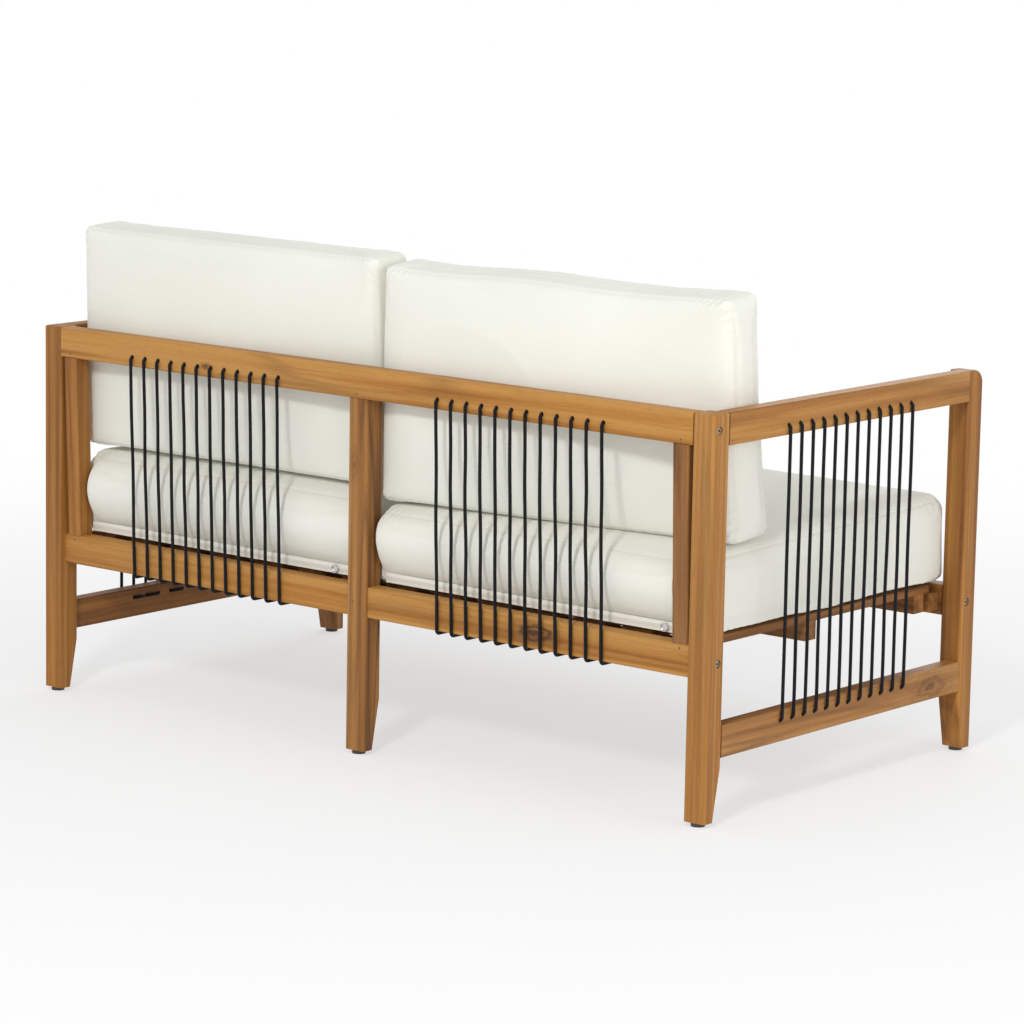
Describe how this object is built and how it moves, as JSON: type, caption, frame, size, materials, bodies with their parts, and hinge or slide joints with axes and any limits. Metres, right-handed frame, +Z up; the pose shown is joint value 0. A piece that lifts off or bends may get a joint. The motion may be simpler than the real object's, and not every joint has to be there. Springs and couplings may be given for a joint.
{
  "type": "patio loveseat",
  "caption": "Patio loveseat: a wooden frame with cord-laced arms and back, a slatted seat, and loose boxed seat and back cushions.",
  "frame": {"origin": "on the floor, under the middle of the whole piece, cord included", "axes": "+X towards the sitter's left, along the back; -Y towards the front; +Z up"},
  "size_m": [1.4276, 0.7331, 0.8069],
  "materials": {
    "wood": "oiled hardwood, satin",
    "cord": "braided cord, matt",
    "cushion": "plain woven cover, matt",
    "zip_tape": "woven tape",
    "zip_metal": "plated, satin",
    "steel": "zinc plated",
    "glide": "moulded"
  },
  "bodies": {
    "frame": {"arm_lacing_left": "cord", "arm_lacing_right": "cord", "arm_rail_left": "wood", "arm_rail_right": "wood", "arm_stretcher_left": "wood", "arm_stretcher_right": "wood", "back_centre_leg": "wood", "back_lacing_left": "cord", "back_lacing_right": "cord", "back_lower_rail_left": "wood", "back_lower_rail_right": "wood", "back_stile_left": "wood", "back_stile_right": "wood", "back_top_rail": "wood", "barrel_nuts": "steel", "batten_front": "wood", "batten_middle": "wood", "batten_rear": "wood", "cord_staples": "steel", "foot_glides": "glide", "frame_bolts": "steel", "front_apron": "wood", "front_ledger": "wood", "front_post_left": "wood", "front_post_right": "wood", "joint_pins": "wood", "rear_ledger_left": "wood", "rear_ledger_right": "wood", "rear_post_left": "wood", "rear_post_right": "wood", "seat_slat_01": "wood", "seat_slat_02": "wood", "seat_slat_03": "wood", "seat_slat_04": "wood", "seat_slat_05": "wood", "seat_slat_06": "wood", "seat_slat_07": "wood", "seat_slat_08": "wood", "seat_slat_09": "wood", "seat_slat_10": "wood", "seat_slat_11": "wood", "seat_slat_12": "wood", "seat_slat_13": "wood", "seat_slat_14": "wood"},
    "seat_cushion_left": {"seat_cushion_left": "cushion", "zip_tape_left": "zip_tape"},
    "seat_cushion_right": {"seat_cushion_right": "cushion", "zip_tape_right": "zip_tape"},
    "back_cushion_left": {"back_cushion_left": "cushion"},
    "back_cushion_right": {"back_cushion_right": "cushion"},
    "zip_slider_left": {"zip_slider_left": "zip_metal"},
    "zip_slider_right": {"zip_slider_right": "zip_metal"}
  },
  "joints": [
    {"name": "seat_cushion_left_pull", "type": "slide", "parent": "frame", "child": "seat_cushion_left", "axis": [0, -1, 0], "range_m": [0, 0.35]},
    {"name": "back_cushion_left_lift", "type": "slide", "parent": "frame", "child": "back_cushion_left", "axis": [0, 0, 1], "range_m": [0, 0.3]},
    {"name": "seat_cushion_right_pull", "type": "slide", "parent": "frame", "child": "seat_cushion_right", "axis": [0, -1, 0], "range_m": [0, 0.35]},
    {"name": "back_cushion_right_lift", "type": "slide", "parent": "frame", "child": "back_cushion_right", "axis": [0, 0, 1], "range_m": [0, 0.3]},
    {"name": "zip_left_run", "type": "slide", "parent": "seat_cushion_left", "child": "zip_slider_left", "axis": [1, 0, 0], "range_m": [0, 0.54]},
    {"name": "zip_right_run", "type": "slide", "parent": "seat_cushion_right", "child": "zip_slider_right", "axis": [1, 0, 0], "range_m": [0, 0.55]}
  ]
}
